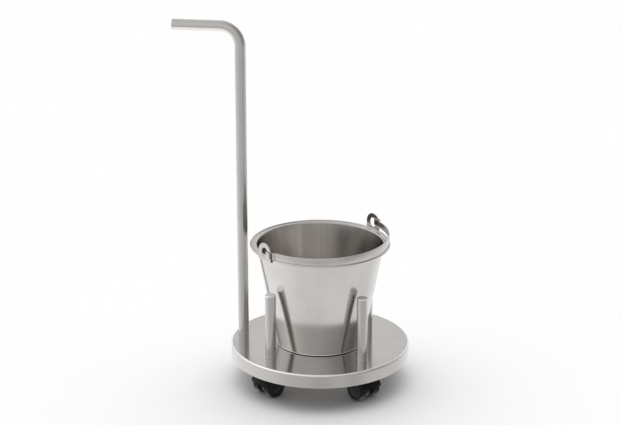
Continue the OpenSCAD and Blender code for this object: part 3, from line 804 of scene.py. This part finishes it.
# Wheels and tyres are sections turned about the axle. The wheel's runs along the inner face,
# over the hub and out to the rim, and comes back in over the dished outer face.
def makeWheels():
    c = caster
    core, hub = c["wheelR"] - c["tyre"], c["bore"] + c["hub"]
    well, soft = core - c["rim"], c["soft"]
    face = c["wheelWide"] - c["dip"]
    web, crown = face - c["face"], face + c["crown"]
    wheel = sectionPath([
        (0, web), (c["bore"], web), (c["bore"], 0, soft), (hub, 0, soft), (hub, web, soft), (well, web, soft),
        (well, 0, soft), (core, 0, soft), (core, c["wheelWide"], soft),
        (well + c["dip"], c["wheelWide"], soft), (well, face, c["dishSoft"]),
        (c["crownFoot"] * well, face, c["crownFootSoft"]), (c["crownTop"] * well, crown, c["crownTopSoft"]),
        (0, crown)], arcSteps=5)
    tyre = sectionPath([(core, 0, c["tyreSeat"]), (c["wheelR"], 0, c["tyreRound"]),
                        (c["wheelR"], c["wheelWide"], c["tyreRound"]),
                        (core, c["wheelWide"], c["tyreSeat"])], closed=True)
    around = facesRound["wheel"]
    for name, quarter in corners.items():
        tangent = heading(floorPlan["postTurn"] + 90 * quarter + 90)
        centre = cornerPlace(name, floorPlan["casterRing"] + c["trail"], c["axle"])
        for letter, side in (("a", -1), ("b", 1)):
            spine = straightSpine(centre + side * c["inside"] * tangent, side * tangent)
            body = f"wheel_{name}_{letter}"
            piece = lathe(f"wheelCore_{name}_{letter}", wheel, spine, segments=around)
            finishPiece(piece, body, plastics["wheel"], "wheel", f"caster_{name}_wheel_{letter}")
            piece = lathe(f"tyreRing_{name}_{letter}", tyre, spine, closed=True, segments=around)
            finishPiece(piece, body, plastics["tyre"], "tyre", f"caster_{name}_tyre_{letter}")


makeWheels()

hood = {"mergeWithin": 0.02, "soft": 0.6, "softSteps": 2, "sharpFrom": 35.0}


# A moulded hood is a copy of its solid with doubles merged and every sharp edge bevelled.
def makeHoods():
    for name in corners:
        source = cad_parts[f"caster_{name}_hood"]
        piece = bpy.data.objects.new("hoodShell_" + name, source.data.copy())
        bpy.context.scene.collection.objects.link(piece)
        merge = piece.modifiers.new("mergeDoubles", "WELD")
        merge.merge_threshold = hood["mergeWithin"] * mm
        soften = piece.modifiers.new("softEdges", "BEVEL")
        soften.width = hood["soft"] * mm
        soften.segments = hood["softSteps"]
        soften.limit_method = "ANGLE"
        soften.angle_limit = np.radians(hood["sharpFrom"])
        soften.harden_normals = True
        finishPiece(piece, "caster_" + name, plastics["hood"], "hood", f"caster_{name}_hood")


makeHoods()
print("casters made")

keptSolids = {"boss": "under", "plate": "under", "stem": "zinc", "clip": "zinc", "axle": "zinc"}


# A solid that stays as it is gets the steel that belongs to the word in its name.
def dressSolids():
    for nodeName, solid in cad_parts.items():
        for word, finish in keptSolids.items():
            if word in nodeName and not solid.hide_render:
                solid.data.materials.clear()
                solid.data.materials.append(steels[finish])


dressSolids()
print("kept solids dressed")

# Angles are in degrees, the place in metres and the sensor in millimetres. The focal length is
# in the same unit as the frame's width.
camera = {"place": (0.0, -3.780, 1.6862), "pitch": 18.627, "yaw": 0.361, "focal": 1724.33,
          "frameWide": 620.0, "sensor": 36.0, "farthest": 60.0}


# The lens is the focal length times the sensor's width over the frame's width.
def makeCamera():
    c = camera
    lens = bpy.data.cameras.new("studioCamera")
    lens.sensor_fit = "HORIZONTAL"
    lens.sensor_width = c["sensor"]
    lens.lens = c["focal"] * c["sensor"] / c["frameWide"]
    lens.clip_end = c["farthest"]
    holder = bpy.data.objects.new("studioCamera", lens)
    holder.location = c["place"]
    holder.rotation_euler = (np.radians(90 - c["pitch"]), 0.0, np.radians(c["yaw"]))
    bpy.context.scene.collection.objects.link(holder)
    bpy.context.scene.camera = holder


makeCamera()

ground = {"half": 30.0, "cloudScale": 1.5, "paleTone": (0.985, 0.985, 0.985), "whiteTone": (1.0, 1.0, 1.0)}


# A white square under the wheels takes the shadow. It is clear from below, and mirrors don't
# show it.
def makeFloor():
    g = ground
    mesh = bpy.data.meshes.new("studioFloor")
    square = [(x * g["half"], y * g["half"], 0) for x, y in ((-1, -1), (1, -1), (1, 1), (-1, 1))]
    mesh.from_pydata(square, [], [(0, 1, 2, 3)])
    floor = bpy.data.objects.new("studioFloor", mesh)
    bpy.context.scene.collection.objects.link(floor)
    material, tree, shader = newMaterial("floorWhite")
    where = tree.nodes.new("ShaderNodeTexCoord").outputs["Object"]
    cloud = noiseNode(tree, where, Scale=g["cloudScale"], Detail=2.0)
    tree.links.new(mixColors(tree, cloud, g["paleTone"], g["whiteTone"]), shader.inputs["Base Color"])
    shader.inputs["Roughness"].default_value = 1.0
    shader.inputs["Specular IOR Level"].default_value = 0.0
    below = tree.nodes.new("ShaderNodeNewGeometry").outputs["Backfacing"]
    clear = tree.nodes.new("ShaderNodeBsdfTransparent")
    sided = addNode(tree, "ShaderNodeMixShader", Fac=below, i1=shader.outputs[0], i2=clear.outputs[0])
    tree.links.new(sided.outputs[0], tree.nodes["Material Output"].inputs["Surface"])
    mesh.materials.append(material)
    floor.visible_glossy = False


makeFloor()

# What the steel mirrors is a ramp of light from straight down (-1) to straight up (1), and soft
# panels that fade as exp((cosine - 1) / wide squared) away from their own direction. Everything
# else is lit by a sky that grows as its height to the given power, and toward the back and the
# left. A ray that reaches the steel by way of the floor gets only the spill share of what the
# steel mirrors, and the sky for the rest.
studio = {
    "heights": [(-1.0, 0.66), (-0.87, 0.95), (-0.70, 0.95), (-0.45, 0.82), (-0.15, 0.77), (0.0, 0.73),
                (0.35, 0.80), (0.67, 0.76), (1.0, 0.62)],
    "panels": [
        {"turn": 270.0, "rise": -30.0, "wide": 14.0, "add": -0.30},   # low front
        {"turn": 234.0, "rise": -30.0, "wide": 14.0, "add": -0.17},
        {"turn": 306.0, "rise": -30.0, "wide": 14.0, "add": -0.16},
        {"turn": 150.0, "rise": -50.0, "wide": 20.0, "add": 0.43},    # floor behind, left
        {"turn": 90.0, "rise": -50.0, "wide": 20.0, "add": 0.23},     # floor behind
        {"turn": 54.0, "rise": -30.0, "wide": 14.0, "add": 0.18},     # floor behind, right
        {"turn": 126.0, "rise": -15.0, "wide": 11.0, "add": 0.16},
        {"turn": 162.0, "rise": 0.0, "wide": 13.0, "add": 0.20},      # left wall
        {"turn": 180.0, "rise": 42.0, "wide": 17.0, "add": 0.50},     # soft box on the left
        {"turn": 342.0, "rise": 0.0, "wide": 13.0, "add": -0.34},     # dark right side
        {"turn": 318.0, "rise": -15.0, "wide": 11.0, "add": -0.17},
        {"turn": 342.0, "rise": 20.0, "wide": 15.0, "add": -0.24},
        {"turn": 18.0, "rise": 20.0, "wide": 15.0, "add": -0.39},
        {"turn": 306.0, "rise": 20.0, "wide": 15.0, "add": -0.30},
        {"turn": 5.0, "rise": 50.0, "wide": 17.0, "add": -0.45},      # dark above the right side
        {"turn": 270.0, "rise": -78.0, "wide": 20.0, "add": 0.75},    # bright floor below
    ],
    "skyPower": 1.45,
    "skyBehind": 0.95,
    "skyLeft": 0.2,
    "spill": 0.35,
}


# The light that the steel mirrors: the ramp read at (height + 1) / 2, then each panel added.
def mirroredLight(tree, way, height):
    ramp = addNode(tree, "ShaderNodeValToRGB", Fac=mathNode(tree, "MULTIPLY_ADD", height, 0.5, 0.5))
    ramp.color_ramp.interpolation = "EASE"
    stops = ramp.color_ramp.elements
    for i, (level, value) in enumerate(studio["heights"]):
        spot = 0.5 + 0.5 * level
        if i >= len(stops):
            stops.new(spot)
        stops[i].position = spot
        stops[i].color = (value, value, value, 1)
    total = ramp.outputs["Color"]
    for panel in studio["panels"]:
        rise = np.radians(panel["rise"])
        aim = np.cos(rise) * heading(panel["turn"]) + np.sin(rise) * np.array(upward)
        spread = float(np.radians(panel["wide"]) ** 2)
        away = mathNode(tree, "SUBTRACT", vectorNode(tree, "DOT_PRODUCT", way, tuple(aim)), 1.0)
        fade = mathNode(tree, "EXPONENT", mathNode(tree, "DIVIDE", away, spread))
        total = mathNode(tree, "MULTIPLY_ADD", fade, panel["add"], total)
    return total


# The light of the sky: height to its power, times 1 + behind * Y - left * X. Half of the power
# plus 1 makes it 1 on level ground before that slant.
def skyLight(tree, split):
    above = mathNode(tree, "MAXIMUM", split["Z"], 0.0)
    fromBack = mathNode(tree, "MULTIPLY_ADD", split["Y"], studio["skyBehind"], 1.0)
    fromLeft = mathNode(tree, "MULTIPLY_ADD", split["X"], -studio["skyLeft"], fromBack)
    light = mathNode(tree, "MULTIPLY", mathNode(tree, "POWER", above, studio["skyPower"]), fromLeft)
    return mathNode(tree, "MULTIPLY", light, studio["skyPower"] / 2 + 1)


# The camera sees white, mirrors see the studio, and everything else sees the sky.
def makeWorld():
    world = bpy.data.worlds.new("studioLight")
    bpy.context.scene.world = world
    world.use_nodes = True
    tree = world.node_tree
    tree.nodes.clear()
    way = tree.nodes.new("ShaderNodeTexCoord").outputs["Generated"]
    split = addNode(tree, "ShaderNodeSeparateXYZ", Vector=way).outputs
    mirrored = addNode(tree, "ShaderNodeBackground", Color=mirroredLight(tree, way, split["Z"]))
    sky = addNode(tree, "ShaderNodeBackground", Color=skyLight(tree, split))
    white = addNode(tree, "ShaderNodeBackground", Color=(1, 1, 1, 1))
    path = tree.nodes.new("ShaderNodeLightPath").outputs
    viewed = path["Is Camera Ray"]
    seen = addNode(tree, "ShaderNodeMixShader", Fac=viewed, i1=sky.outputs[0], i2=white.outputs[0])
    scattered = mathNode(tree, "MINIMUM", path["Diffuse Depth"], 1.0)
    kept = mathNode(tree, "MULTIPLY_ADD", scattered, studio["spill"] - 1.0, 1.0)
    share = mathNode(tree, "MULTIPLY", path["Is Glossy Ray"], kept)
    mixed = addNode(tree, "ShaderNodeMixShader", Fac=share, i1=seen.outputs[0], i2=mirrored.outputs[0])
    out = tree.nodes.new("ShaderNodeOutputWorld")
    tree.links.new(mixed.outputs[0], out.inputs["Surface"])


makeWorld()
bpy.context.scene.view_settings.view_transform = "Standard"

print("stage made")
